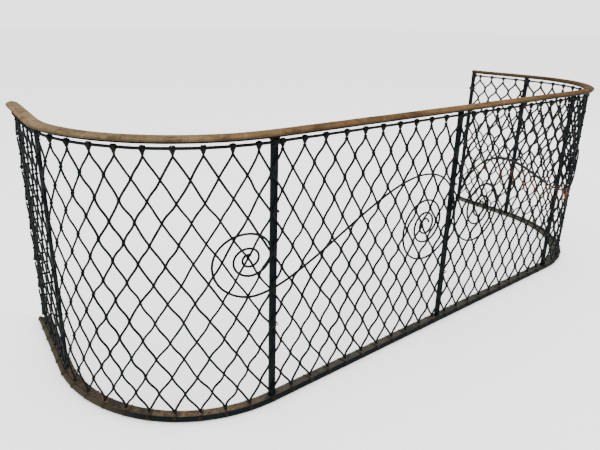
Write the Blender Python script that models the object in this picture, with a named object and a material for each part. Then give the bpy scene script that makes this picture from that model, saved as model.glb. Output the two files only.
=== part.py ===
"""Wirework fire screen with a brass top rail, modelled as separate named pieces.

The screen is a U in plan: a straight front, two round corners and two short sides. A place on it is given by
the distance along the U from the middle of the front (positive to the right), by an inset towards the hearth
and by a height. Units are metres, +Z is up and the front faces -Y.
"""

import math

import bmesh
import bpy
from mathutils import Vector

# Plan, counted in columns of the diamond mesh.
MESH_PITCH = 0.0355
FRONT_COLUMNS = 10.5
CORNER_COLUMNS = 10.5
SIDE_COLUMNS = 4.5
FRONT_END = FRONT_COLUMNS * MESH_PITCH
CORNER_END = FRONT_END + CORNER_COLUMNS * MESH_PITCH
LINE_END = CORNER_END + SIDE_COLUMNS * MESH_PITCH
CORNER_RADIUS = 2 * CORNER_COLUMNS * MESH_PITCH / math.pi
ARC_STEPS = 16

# Clear space kept between neighbouring pieces.
GAP = 0.0003

# Base: a flat strip on the floor and a rod beside its outer edge.
BASE_STRIP_OUTER = 0.0006
BASE_STRIP_INNER = 0.014
BASE_STRIP_THICK = 0.0035
BASE_STRIP_CHAMFER = 0.0008
BASE_ROD_RADIUS = 0.0038
BASE_ROD_INSET = BASE_STRIP_OUTER - GAP - BASE_ROD_RADIUS
BASE_ROD_Z = BASE_ROD_RADIUS
BASE_OVERHANG = 0.006

# Top: the mesh hangs on a thin rod, under an iron strip that carries the brass rail.
ROD_SPACING = 0.3797
HANG_ROD_RADIUS = 0.00165
HANG_ROD_Z = BASE_ROD_Z + ROD_SPACING
HANG_ROD_OVERHANG = 0.006
STRIP_DROP = 0.007
STRIP_WIDTH = 0.016
STRIP_THICK = 0.0022
STRIP_BOTTOM = HANG_ROD_Z + STRIP_DROP
STRIP_OVERHANG = 0.005
RAIL_WIDTH = 0.020
RAIL_THICK = 0.006
RAIL_EDGE = 0.0014
RAIL_BOTTOM = STRIP_BOTTOM + STRIP_THICK + GAP
RAIL_OVERHANG = 0.010
RAIL_ARC_STEPS = 6

# The box around everything is centred on the origin; the rail is its widest piece.
Y_SHIFT = (RAIL_WIDTH / 2 - CORNER_RADIUS - SIDE_COLUMNS * MESH_PITCH - RAIL_OVERHANG) / 2

# Posts: flat bars behind the mesh.
POST_WIDTH = 0.010
POST_THICK = 0.005
POST_FACE = 0.0029
POST_BOTTOM = BASE_STRIP_THICK + GAP
POST_TOP = STRIP_BOTTOM - GAP
POST_BEVEL = 0.0006

# Diamond mesh.
WIRE = 0.0026
MESH_LEVELS = 13
MESH_TOP = HANG_ROD_Z - 0.0095
MESH_BOTTOM = BASE_ROD_Z + 0.009
LEVEL_STEP = (MESH_TOP - MESH_BOTTOM) / MESH_LEVELS
NECK_TOP = HANG_ROD_Z - HANG_ROD_RADIUS - 0.0004
NECK_BOTTOM = BASE_ROD_Z + BASE_ROD_RADIUS + 0.0004

# Lashings of fine wire round a post and what it holds; those at the rod run slantwise across it.
LASH_WALL = 0.001
LASH_TALL = 0.0018
ROD_LASH_TILT = math.radians(32)

# Scrolls: two wound-up ends joined by one long stroke, in (distance along, height).
SCROLL_INSET = -0.0038
SCROLL_RADIUS = 0.001
SCROLL_STEPS_PER_TURN = 14
SCROLL_STROKE_STEPS = 12
OUTER_EYE = Vector((-0.4134, 0.2355))
OUTER_RADIUS = 0.0562
OUTER_START = math.radians(-72)
OUTER_TURNS = 2.6
OUTER_DECAY = 0.84
OUTER_STRETCH = 1.075
INNER_EYE = Vector((-0.0752, 0.2073))
INNER_RADIUS = 0.0873
INNER_START = math.radians(89)
INNER_TURNS = 3.2
INNER_DECAY = 0.70
STROKE_HANDLE = 0.10


def clear_scene():
    """Empties the scene."""
    for obj in list(bpy.data.objects):
        bpy.data.objects.remove(obj, do_unlink=True)


def make_material(name, colour, metallic, roughness):
    """A plain Principled material."""
    material = bpy.data.materials.new(name)
    material.use_nodes = True
    shader = material.node_tree.nodes["Principled BSDF"]
    shader.inputs["Base Color"].default_value = (*colour, 1.0)
    shader.inputs["Metallic"].default_value = metallic
    shader.inputs["Roughness"].default_value = roughness
    material.diffuse_color = (*colour, 1.0)
    return material


def line_point(along, inset, height):
    """The point of the screen at this distance along the U, this far towards the hearth."""
    side = -1.0 if along < 0 else 1.0
    distance = abs(along)
    if distance <= FRONT_END:
        x = distance
        y = inset
    elif distance <= CORNER_END:
        angle = (distance - FRONT_END) / CORNER_RADIUS
        x = FRONT_END + (CORNER_RADIUS - inset) * math.sin(angle)
        y = CORNER_RADIUS - (CORNER_RADIUS - inset) * math.cos(angle)
    else:
        x = FRONT_END + CORNER_RADIUS - inset
        y = CORNER_RADIUS + distance - CORNER_END
    return Vector((side * x, y + Y_SHIFT, height))


def line_heading(along):
    """Rotation about Z that turns +X to run along the U here."""
    angle = min(max((abs(along) - FRONT_END) / CORNER_RADIUS, 0.0), math.pi / 2)
    return math.copysign(angle, along)


def stations(overhang):
    """Distances along the U at which a bent bar gets a section."""
    half = [0.0]
    for step in range(ARC_STEPS + 1):
        half.append(FRONT_END + (CORNER_END - FRONT_END) * step / ARC_STEPS)
    half.append(LINE_END + overhang)
    return [-value for value in reversed(half[1:])] + half


def add_object(name, bm, material, parent):
    """Turns a bmesh into a named object with one material."""
    bmesh.ops.recalc_face_normals(bm, faces=bm.faces)
    mesh = bpy.data.meshes.new(name)
    bm.to_mesh(mesh)
    bm.free()
    mesh.materials.append(material)
    obj = bpy.data.objects.new(name, mesh)
    bpy.context.scene.collection.objects.link(obj)
    obj.parent = parent
    return obj


def add_bent_bar(name, section, places, material, parent, narrowing=None):
    """Sweeps a closed section of (inset, height) points along the U, and caps both ends."""
    bm = bmesh.new()
    rings = []
    for along in places:
        factor = narrowing(along) if narrowing else 1.0
        ring = []
        for inset, height in section:
            ring.append(bm.verts.new(line_point(along, inset * factor, height)))
        rings.append(ring)
    count = len(section)
    for first, second in zip(rings, rings[1:]):
        for k in range(count):
            after = (k + 1) % count
            bm.faces.new((first[k], first[after], second[after], second[k]))
    bm.faces.new(rings[0])
    bm.faces.new(list(reversed(rings[-1])))
    return add_object(name, bm, material, parent)


def rod_section(inset, height, radius, sides=6):
    """A round rod's section as a polygon of (inset, height) points."""
    points = []
    for k in range(sides):
        angle = 2 * math.pi * (k + 0.5) / sides
        points.append((inset + radius * math.cos(angle), height + radius * math.sin(angle)))
    return points


def rail_section():
    """Flat underneath, short upright edges and a low arched top."""
    half = RAIL_WIDTH / 2
    points = [(-half, RAIL_BOTTOM), (half, RAIL_BOTTOM)]
    for k in range(RAIL_ARC_STEPS + 1):
        angle = math.pi * k / RAIL_ARC_STEPS
        rise = (RAIL_THICK - RAIL_EDGE) * math.sin(angle)
        points.append((half * math.cos(angle), RAIL_BOTTOM + RAIL_EDGE + rise))
    return points


def rail_stations():
    """The bar's stations, with extra ones where the rail's ends are rounded off."""
    places = stations(RAIL_OVERHANG)
    end = places[-1]
    half = RAIL_WIDTH / 2
    steps = [end - half * (1 - math.sin(math.radians(turn))) for turn in (0, 25, 45, 62, 78)]
    return [-value for value in reversed(steps)] + places[1:-1] + steps


def rail_narrowing(along):
    """Share of the rail's full width: 1 along the rail, falling in a quarter circle at its ends."""
    half = RAIL_WIDTH / 2
    into = max(abs(along) - (LINE_END + RAIL_OVERHANG - half), 0.0) / half
    return math.sqrt(max(1 - into * into, 0.0))


def base_section():
    """The floor strip: flat underneath, with the upper corners taken off."""
    upper = BASE_STRIP_THICK - BASE_STRIP_CHAMFER
    return [
        (BASE_STRIP_OUTER, 0.0),
        (BASE_STRIP_INNER, 0.0),
        (BASE_STRIP_INNER, upper),
        (BASE_STRIP_INNER - BASE_STRIP_CHAMFER, BASE_STRIP_THICK),
        (BASE_STRIP_OUTER + BASE_STRIP_CHAMFER, BASE_STRIP_THICK),
        (BASE_STRIP_OUTER, upper),
    ]


def add_rails(materials, parent):
    """Everything that runs round the whole U, from the brass rail down to the floor strip."""
    add_bent_bar("top_rail", rail_section(), rail_stations(), materials["brass"], parent, rail_narrowing)
    half = STRIP_WIDTH / 2
    strip_top = STRIP_BOTTOM + STRIP_THICK
    strip = [(-half, STRIP_BOTTOM), (half, STRIP_BOTTOM), (half, strip_top), (-half, strip_top)]
    add_bent_bar("rail_backing_strip", strip, stations(STRIP_OVERHANG), materials["paint"], parent)
    hanger = rod_section(0.0, HANG_ROD_Z, HANG_ROD_RADIUS)
    add_bent_bar("suspension_rod", hanger, stations(HANG_ROD_OVERHANG), materials["wire"], parent)
    foot = rod_section(BASE_ROD_INSET, BASE_ROD_Z, BASE_ROD_RADIUS, 8)
    add_bent_bar("base_rod", foot, stations(BASE_OVERHANG), materials["wire"], parent)
    add_bent_bar("base_strip", base_section(), stations(BASE_OVERHANG), materials["base"], parent)


def add_post(name, along, material, parent):
    """A flat upright bar from the floor strip to the strip under the rail."""
    bm = bmesh.new()
    bmesh.ops.create_cube(bm, size=1.0)
    size = (POST_WIDTH, POST_THICK, POST_TOP - POST_BOTTOM)
    bmesh.ops.scale(bm, vec=size, verts=bm.verts)
    bmesh.ops.bevel(bm, geom=bm.edges[:], offset=POST_BEVEL, segments=1, affect="EDGES")
    post = add_object(name, bm, material, parent)
    middle = (POST_BOTTOM + POST_TOP) / 2
    post.location = line_point(along, POST_FACE + POST_THICK / 2, middle)
    post.rotation_euler.z = line_heading(along)
    return post


def add_lashing(name, along, height, outermost, tilt, material, parent):
    """A band round a post and whatever lies outside it, from the given outermost inset.

    The tilt turns the band in the screen's own surface, and the band widens to stay clear of the post.
    """
    reach = (POST_WIDTH / 2 + GAP + LASH_TALL / 2 * math.sin(tilt)) / math.cos(tilt)
    front = outermost - GAP
    back = POST_FACE + POST_THICK + GAP
    bm = bmesh.new()
    rings = []
    for grow in (0.0, LASH_WALL):
        for z in (-LASH_TALL / 2, LASH_TALL / 2):
            x = reach + grow
            y = (back - front) / 2 + grow
            corners = ((-x, -y), (x, -y), (x, y), (-x, y))
            rings.append([bm.verts.new((a, b, z)) for a, b in corners])
    inner_low, inner_high, outer_low, outer_high = rings
    for k in range(4):
        after = (k + 1) % 4
        for low, high in ((inner_low, inner_high), (outer_low, outer_high)):
            bm.faces.new((low[k], low[after], high[after], high[k]))
        for near, far in ((inner_low, outer_low), (inner_high, outer_high)):
            bm.faces.new((near[k], near[after], far[after], far[k]))
    band = add_object(name, bm, material, parent)
    band.location = line_point(along, (front + back) / 2, height)
    band.rotation_euler = (0.0, tilt, line_heading(along))
    return band


def level_height(level):
    """Height of a row of crossings, counted down from the top one."""
    return MESH_TOP - level * LEVEL_STEP


def crossing_corners(bm, column, level, first, last):
    """The corners of the flat patch where two wires cross, keyed N, E, S and W.

    A crossing on the seam between two bays keeps only its own half.
    """
    step = MESH_PITCH / 2
    reach = WIRE * math.hypot(step, LEVEL_STEP) / (2 * step * LEVEL_STEP)
    along = column * step
    height = level_height(level)
    shift = 0.0
    if column == first:
        shift = GAP / 2
    if column == last:
        shift = -GAP / 2
    north = NECK_TOP if level == 0 else height + reach * LEVEL_STEP
    south = NECK_BOTTOM if level == MESH_LEVELS else height - reach * LEVEL_STEP
    corners = {
        "N": bm.verts.new(line_point(along + shift, 0.0, north)),
        "S": bm.verts.new(line_point(along + shift, 0.0, south)),
    }
    if column != last:
        corners["E"] = bm.verts.new(line_point(along + reach * step, 0.0, height))
    if column != first:
        corners["W"] = bm.verts.new(line_point(along - reach * step, 0.0, height))
    return corners


def add_mesh_bay(name, first, last, material, parent):
    """One bay of diamond mesh between two half-column numbers, thickened to the wire's size."""
    bm = bmesh.new()
    crossings = {}
    for level in range(MESH_LEVELS + 1):
        for column in range(first, last + 1):
            if (column + level) % 2 == 0:
                crossings[column, level] = crossing_corners(bm, column, level, first, last)
    for (column, level), here in crossings.items():
        bm.faces.new([here[key] for key in "NESW" if key in here])
        right = crossings.get((column + 1, level + 1))
        if right:
            bm.faces.new((here["E"], right["N"], right["W"], here["S"]))
        left = crossings.get((column - 1, level + 1))
        if left:
            bm.faces.new((here["W"], left["N"], left["E"], here["S"]))
    bay = add_object(name, bm, material, parent)
    solid = bay.modifiers.new("wire thickness", "SOLIDIFY")
    solid.thickness = WIRE
    solid.offset = 0.0
    return bay


def add_mesh(material, parent):
    """The whole length of diamond mesh, in bays that meet in line with the posts."""
    bays = {
        "mesh_side_left": (-51, -42),
        "mesh_corner_left_rear": (-42, -35),
        "mesh_corner_left_middle": (-35, -28),
        "mesh_corner_left_front": (-28, -21),
        "mesh_front_left": (-21, 0),
        "mesh_front_right": (0, 21),
        "mesh_corner_right_front": (21, 28),
        "mesh_corner_right_middle": (28, 35),
        "mesh_corner_right_rear": (35, 42),
        "mesh_side_right": (42, 51),
    }
    for name, (first, last) in bays.items():
        add_mesh_bay(name, first, last, material, parent)


def spiral_point(eye, radius, start, decay, stretch, turn):
    """A point of a wire wound clockwise inwards, its radius shrinking evenly from turn to turn."""
    angle = start - 2 * math.pi * turn
    reach = radius * math.exp(-decay * turn)
    return Vector((eye.x + reach * stretch * math.cos(angle), eye.y + reach * math.sin(angle)))


def outer_spiral_point(turn):
    """A point of the scroll's end near the corner."""
    return spiral_point(OUTER_EYE, OUTER_RADIUS, OUTER_START, OUTER_DECAY, OUTER_STRETCH, turn)


def inner_spiral_point(turn):
    """A point of the scroll's end near the middle post."""
    return spiral_point(INNER_EYE, INNER_RADIUS, INNER_START, INNER_DECAY, 1.0, turn)


def stroke_point(share):
    """A point of the stroke from the outer spiral's mouth to the inner one's."""
    start = outer_spiral_point(0.0)
    end = inner_spiral_point(0.0)
    leave = (start - outer_spiral_point(0.01)).normalized() * STROKE_HANDLE
    arrive = (inner_spiral_point(0.01) - end).normalized() * STROKE_HANDLE
    rest = 1 - share
    before = start * rest**3 + (start + leave) * 3 * rest**2 * share
    return before + (end - arrive) * 3 * rest * share**2 + end * share**3


def scroll_path():
    """The left scroll from eye to eye as (distance along, height) points."""
    outer_steps = round(OUTER_TURNS * SCROLL_STEPS_PER_TURN)
    inner_steps = round(INNER_TURNS * SCROLL_STEPS_PER_TURN)
    path = [outer_spiral_point(k / SCROLL_STEPS_PER_TURN) for k in range(outer_steps, 0, -1)]
    path += [stroke_point(k / SCROLL_STROKE_STEPS) for k in range(SCROLL_STROKE_STEPS)]
    path += [inner_spiral_point(k / SCROLL_STEPS_PER_TURN) for k in range(inner_steps + 1)]
    return path


def add_scroll(name, side, material, parent):
    """A bent wire against the outside of the mesh; side is 1 for the left one, -1 for its mirror image."""
    curve = bpy.data.curves.new(name, "CURVE")
    curve.dimensions = "3D"
    curve.bevel_depth = SCROLL_RADIUS
    curve.bevel_resolution = 0
    curve.use_fill_caps = True
    curve.materials.append(material)
    path = scroll_path()
    spline = curve.splines.new("POLY")
    spline.points.add(len(path) - 1)
    for point, (along, height) in zip(spline.points, path):
        point.co = (*line_point(side * along, SCROLL_INSET, height), 1.0)
    obj = bpy.data.objects.new(name, curve)
    bpy.context.scene.collection.objects.link(obj)
    obj.parent = parent
    return obj


def add_posts_and_lashings(materials, parent):
    """The seven posts, each lashed to the suspension rod and to the mesh at two crossings."""
    posts = {
        "rear_left": (-LINE_END, (3, 9)),
        "side_left": (-CORNER_END, (4, 10)),
        "front_left": (-FRONT_END, (3, 9)),
        "front_middle": (0.0, (4, 10)),
        "front_right": (FRONT_END, (3, 9)),
        "side_right": (CORNER_END, (4, 10)),
        "rear_right": (LINE_END, (3, 9)),
    }
    wire = materials["wire"]
    for place, (along, levels) in posts.items():
        add_post(f"post_{place}", along, materials["paint"], parent)
        name = f"lashing_{place}_rod"
        add_lashing(name, along, HANG_ROD_Z, -HANG_ROD_RADIUS, ROD_LASH_TILT, wire, parent)
        for label, level in zip(("upper", "lower"), levels):
            name = f"lashing_{place}_{label}"
            add_lashing(name, along, level_height(level), -WIRE / 2, 0.0, wire, parent)


def main():
    """Builds every piece of the screen."""
    clear_scene()
    materials = {
        "brass": make_material("aged brass", (0.42, 0.27, 0.12), 0.9, 0.42),
        "paint": make_material("dark painted iron", (0.012, 0.022, 0.022), 0.3, 0.5),
        "wire": make_material("blackened wire", (0.010, 0.018, 0.018), 0.4, 0.5),
        "base": make_material("worn iron", (0.11, 0.065, 0.035), 0.4, 0.7),
    }
    screen = bpy.data.objects.new("fire_screen", None)
    bpy.context.scene.collection.objects.link(screen)
    add_rails(materials, screen)
    add_posts_and_lashings(materials, screen)
    add_mesh(materials["wire"], screen)
    add_scroll("scroll_left", 1, materials["wire"], screen)
    add_scroll("scroll_right", -1, materials["wire"], screen)


main()
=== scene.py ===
"""A wirework fire screen: brass rail, hung diamond mesh, flat posts and two wire scrolls.

The screen is a U in plan. Places on it are given by the distance along the U from the middle of the front
(positive to the right), by an inset towards the hearth and by a height, all in metres.
"""

import logging
import math
import random
from collections.abc import Callable, Sequence
from dataclasses import dataclass, field
from enum import Enum

import bpy
from mathutils import Euler, Matrix, Vector, noise

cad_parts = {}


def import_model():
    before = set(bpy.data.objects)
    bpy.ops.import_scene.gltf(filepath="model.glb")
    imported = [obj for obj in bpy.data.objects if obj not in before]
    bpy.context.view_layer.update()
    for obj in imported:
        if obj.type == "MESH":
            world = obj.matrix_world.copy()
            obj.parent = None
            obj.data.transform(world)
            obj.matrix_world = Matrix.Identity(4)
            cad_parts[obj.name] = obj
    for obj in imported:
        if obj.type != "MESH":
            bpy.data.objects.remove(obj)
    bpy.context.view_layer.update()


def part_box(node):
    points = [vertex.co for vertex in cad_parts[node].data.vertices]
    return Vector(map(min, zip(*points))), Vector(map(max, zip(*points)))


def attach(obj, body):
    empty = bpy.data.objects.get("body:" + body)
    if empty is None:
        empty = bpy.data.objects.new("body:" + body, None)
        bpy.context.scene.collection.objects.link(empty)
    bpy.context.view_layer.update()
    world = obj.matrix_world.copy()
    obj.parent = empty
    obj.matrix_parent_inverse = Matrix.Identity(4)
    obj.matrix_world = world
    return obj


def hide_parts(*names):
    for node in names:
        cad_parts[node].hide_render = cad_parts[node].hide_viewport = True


LOG = logging.getLogger("fire_screen")

Place = tuple[float, float, float]
Piece = bpy.types.Object
Material = bpy.types.Material
Socket = bpy.types.NodeSocket


class Slot(Enum):
    """The record's material slots."""

    RAIL = "rail_brass"
    PAINT = "frame_paint"
    WIRE = "blackened_wire"
    BASE = "worn_iron"


# ----------------------------------------
# Plan of the screen


def soft_step(value: float, middle: float, width: float) -> float:
    """Rises smoothly from 0 to 1 about the middle, or falls from 1 to 0 where the width is negative."""
    return 1 / (1 + math.exp((middle - value) / width))


def rod_size(node: str) -> tuple[float, float]:
    """The radius and the middle height of a packed rod."""
    low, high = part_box(node)
    return (high.z - low.z) / 2, (low.z + high.z) / 2


@dataclass(frozen=True)
class Plan:
    """The U-shaped line that every piece follows, read from the fixed frame."""

    front_y: float
    front_end: float
    radius: float
    side_run: float

    COLUMNS_PER_CORNER = 10.5

    @classmethod
    def from_frame(cls) -> "Plan":
        """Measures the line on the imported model.

        Returns:
            The plan of this screen.
        """
        post_low, post_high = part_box("post_front_right")
        front_low, front_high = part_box("mesh_front_left")
        side_low, side_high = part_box("mesh_side_right")
        rear_low, rear_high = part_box("post_rear_right")
        front_y = (front_low.y + front_high.y) / 2
        front_end = (post_low.x + post_high.x) / 2
        radius = (side_low.x + side_high.x) / 2 - front_end
        rear_y = (rear_low.y + rear_high.y) / 2
        return cls(front_y, front_end, radius, rear_y - front_y - radius)

    @property
    def corner_end(self) -> float:
        """Distance along the line to where a corner meets its side."""
        return self.front_end + self.radius * math.pi / 2

    @property
    def line_end(self) -> float:
        """Distance along the line to the rear posts."""
        return self.corner_end + self.side_run

    @property
    def pitch(self) -> float:
        """Width of one column of the mesh."""
        return self.radius * math.pi / 2 / self.COLUMNS_PER_CORNER

    def overhang(self, end_y: float) -> float:
        """How far a piece that ends at this Y runs past the rear posts."""
        return end_y - self.front_y - self.radius - self.side_run

    def angle(self, along: float) -> float:
        """How far the line has turned at this distance, about +Z."""
        turned = min(max((abs(along) - self.front_end) / self.radius, 0.0), math.pi / 2)
        return math.copysign(turned, along)

    def point(self, along: float, inset: float, height: float) -> Vector:
        """A place on the screen as a point.

        Args:
            along: Distance along the line from the middle of the front.
            inset: Distance from the line towards the hearth.
            height: Height above the floor.

        Returns:
            The point in the frame's own axes.
        """
        side = -1.0 if along < 0 else 1.0
        distance = abs(along)
        if distance <= self.front_end:
            x, y = distance, inset
        elif distance <= self.corner_end:
            turned = (distance - self.front_end) / self.radius
            x = self.front_end + (self.radius - inset) * math.sin(turned)
            y = self.radius - (self.radius - inset) * math.cos(turned)
        else:
            x = self.front_end + self.radius - inset
            y = self.radius + distance - self.corner_end
        return Vector((side * x, self.front_y + y, height))

    def placing(self, along: float, inset: float, height: float, tilt: float = 0.0) -> Matrix:
        """The matrix that carries a piece modelled at the origin, facing -Y, to a place on the screen."""
        turn = Euler((0.0, tilt, self.angle(along))).to_matrix().to_4x4()
        return Matrix.Translation(self.point(along, inset, height)) @ turn


# ----------------------------------------
# Finishes


@dataclass(frozen=True)
class Patches:
    """A noise pattern stretched between two of its values, and how much of a tint it lays on."""

    scale: float
    detail: float
    rough: float
    low: float
    high: float
    share: float = 1.0


@dataclass(frozen=True)
class Fade:
    """A change along an axis, from nothing at one place to the whole share at the other."""

    axis: str
    none: float
    full: float
    share: float = 1.0


@dataclass(frozen=True)
class Relief:
    """A noise pattern that raises the surface by up to a depth."""

    scale: float
    detail: float
    rough: float
    depth: float
    strength: float = 0.6


class Graph:
    """A material's node tree, with short ways to add and join its nodes."""

    def __init__(self, name: str, **constants: object) -> None:
        """Starts a material.

        Args:
            name: The material's name.
            constants: Values for the shader's own inputs, spaces as underscores.
        """
        self.material = bpy.data.materials.new(name)
        self.material.use_nodes = True
        self.tree = self.material.node_tree
        self.shader = self.tree.nodes["Principled BSDF"]
        self.place = self.add("ShaderNodeTexCoord").outputs["Object"]
        for key, value in constants.items():
            self.shader.inputs[key.replace("_", " ")].default_value = value

    def add(self, kind: str, **settings: object) -> bpy.types.Node:
        """Adds a node and sets its properties and its unlinked inputs.

        Args:
            kind: The node's type.
            settings: Property or input names with their values, spaces as underscores.

        Returns:
            The node.
        """
        node = self.tree.nodes.new(kind)
        for key, value in settings.items():
            if hasattr(node, key):
                setattr(node, key, value)
            else:
                node.inputs[key.replace("_", " ")].default_value = value
        return node

    def join(self, source: Socket, target: Socket) -> None:
        """Links one socket to another."""
        self.tree.links.new(source, target)

    def stretched(self, scale: Place) -> Socket:
        """Object coordinates scaled by a factor for each axis."""
        mapping = self.add("ShaderNodeMapping")
        mapping.inputs["Scale"].default_value = scale
        self.join(self.place, mapping.inputs["Vector"])
        return mapping.outputs["Vector"]

    def noise(self, scale: float, detail: float, rough: float, at: Socket | None = None) -> Socket:
        """A noise pattern's factor.

        Args:
            scale: Pattern size, in waves per metre.
            detail: Octaves of finer pattern.
            rough: How strong the finer pattern is.
            at: Coordinates, or None for the object's own.

        Returns:
            The factor socket.
        """
        node = self.add("ShaderNodeTexNoise", Scale=scale, Detail=detail, Roughness=rough)
        self.join(at or self.place, node.inputs["Vector"])
        return node.outputs["Fac"]

    def ramp(self, factor: Socket, low: float, high: float) -> Socket:
        """Stretches a factor so that low becomes 0 and high becomes 1, with soft ends."""
        node = self.add("ShaderNodeMapRange", interpolation_type="SMOOTHSTEP")
        node.inputs["From Min"].default_value = low
        node.inputs["From Max"].default_value = high
        self.join(factor, node.inputs["Value"])
        return node.outputs["Result"]

    def math(self, operation: str, first: Socket, second: object) -> Socket:
        """Joins two values by an arithmetic operation; the second may be a number."""
        node = self.add("ShaderNodeMath", operation=operation)
        self.join(first, node.inputs[0])
        if isinstance(second, (int, float)):
            node.inputs[1].default_value = second
        else:
            self.join(second, node.inputs[1])
        return node.outputs["Value"]

    def mix(self, factor: Socket, first: object, second: object) -> Socket:
        """Mixes two colours, each a colour or a socket, by a factor."""
        node = self.add("ShaderNodeMix", data_type="RGBA")
        self.join(factor, node.inputs["Factor"])
        for value, socket in ((first, node.inputs[6]), (second, node.inputs[7])):
            if isinstance(value, tuple):
                socket.default_value = (*value, 1.0)
            else:
                self.join(value, socket)
        return node.outputs[2]

    def axis(self, name: str) -> Socket:
        """One of the object coordinates, X, Y or Z."""
        node = self.add("ShaderNodeSeparateXYZ")
        self.join(self.place, node.inputs["Vector"])
        return node.outputs[name]

    def patches(self, pattern: Patches, at: Socket | None = None) -> Socket:
        """A pattern's factor, before its share."""
        factor = self.noise(pattern.scale, pattern.detail, pattern.rough, at)
        return self.ramp(factor, pattern.low, pattern.high)

    def fade(self, fade: Fade) -> Socket:
        """A fade's factor, its share included."""
        return self.math("MULTIPLY", self.ramp(self.axis(fade.axis), fade.none, fade.full), fade.share)

    def over(self, colour: object, tint: object, mask: Socket, share: float) -> Socket:
        """Lays a share of a tint over a colour where the mask is 1."""
        return self.mix(self.math("MULTIPLY", mask, share), colour, tint)

    def patched(self, colour: object, tint: object, pattern: Patches, at: Socket | None = None) -> Socket:
        """Lays a tint over a colour in patches.

        Args:
            colour: The colour so far.
            tint: The other colour.
            pattern: The patches.
            at: Coordinates for the pattern, or None for the object's own.

        Returns:
            The new colour.
        """
        return self.over(colour, tint, self.patches(pattern, at), pattern.share)

    def faded(self, colour: object, tint: object, *fades: Fade) -> Socket:
        """Lays a tint over a colour where all of the fades let it."""
        mask = self.fade(fades[0])
        for other in fades[1:]:
            mask = self.math("MULTIPLY", mask, self.fade(other))
        return self.mix(mask, colour, tint)

    def raise_by(self, relief: Relief) -> None:
        """Adds a relief to those that the surface has."""
        node = self.add("ShaderNodeBump", Strength=relief.strength, Distance=relief.depth)
        self.join(self.noise(relief.scale, relief.detail, relief.rough), node.inputs["Height"])
        before = self.shader.inputs["Normal"]
        if before.is_linked:
            self.join(before.links[0].from_socket, node.inputs["Normal"])
        self.join(node.outputs["Normal"], before)

    def finished(self, colour: Socket, roughness: Patches, reliefs: Sequence[Relief]) -> Material:
        """Feeds the shader.

        Args:
            colour: The colour.
            roughness: The pattern of the roughness.
            reliefs: The surface's reliefs, broadest last.

        Returns:
            The material.
        """
        self.join(colour, self.shader.inputs["Base Color"])
        self.join(self.patches(roughness), self.shader.inputs["Roughness"])
        for relief in reliefs:
            self.raise_by(relief)
        return self.material


@dataclass(frozen=True)
class AgedBrass:
    """Brass gone dull brown, greyer towards the left end, with handled patches, fine scratches and painted
    shade on the lower flanks of the rail.
    """

    golden: Place = (0.106, 0.062, 0.027)
    grey_tan: Place = (0.158, 0.115, 0.062)
    dark: Place = (0.020, 0.012, 0.007)
    rubbed: Place = (0.230, 0.160, 0.090)
    sheen: Place = (0.55, 0.38, 0.20)
    greyer: Fade = Fade("X", -0.30, -0.60)
    deeper: Fade = Fade("X", 0.05, 0.50, 0.55)
    clouds: Patches = Patches(9.0, 4.0, 0.6, 0.40, 0.66, 0.40)
    blotches: Patches = Patches(42.0, 6.0, 0.7, 0.48, 0.66, 0.62)
    handled: Patches = Patches(58.0, 6.0, 0.72, 0.56, 0.72, 0.65)
    specks: Patches = Patches(260.0, 6.0, 0.75, 0.53, 0.66, 0.55)
    roughness: Patches = Patches(60.0, 4.0, 0.6, -1.0, 1.0)
    reliefs: tuple[Relief, ...] = (Relief(260.0, 4.0, 0.6, 0.00025), Relief(45.0, 3.0, 0.5, 0.0008))

    def scratches(self, graph: Graph) -> Socket:
        """Fine lines that run the way the rail runs: along X on the front and along Y on the sides."""
        long, fine = 14.0, 190.0
        on_sides = graph.ramp(graph.math("ABSOLUTE", graph.axis("X"), 0.0), 0.50, 0.60)
        along_front = graph.noise(1.0, 4.0, 0.65, graph.stretched((long, fine, fine)))
        along_side = graph.noise(1.0, 4.0, 0.65, graph.stretched((fine, long, fine)))
        return graph.ramp(graph.mix(on_sides, along_front, along_side), 0.46, 0.68)

    def material(self) -> Material:
        """Builds the finish."""
        graph = Graph("aged brass", Metallic=0.25, Specular_IOR_Level=0.03, Specular_Tint=(*self.sheen, 1.0))
        colour = graph.faded(self.golden, self.grey_tan, self.greyer)
        colour = graph.faded(colour, self.dark, self.deeper)
        colour = graph.patched(colour, self.dark, self.clouds)
        colour = graph.patched(colour, self.dark, self.blotches)
        colour = graph.patched(colour, self.rubbed, self.handled)
        colour = graph.over(colour, self.dark, self.scratches(graph), 0.38)
        low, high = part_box("top_rail")
        tall = high.z - low.z
        # Painted shade: the rail's colour is darkened towards the bottom of its arch, standing in for the
        # shade that falls on its lower flanks.
        painted_underside_shade = Fade("Z", low.z + tall * 0.62, low.z + tall * 0.20, 0.50)
        colour = graph.faded(colour, self.dark, painted_underside_shade)
        colour = graph.patched(colour, self.dark, self.specks)
        return graph.finished(colour, self.roughness, self.reliefs)


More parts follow.
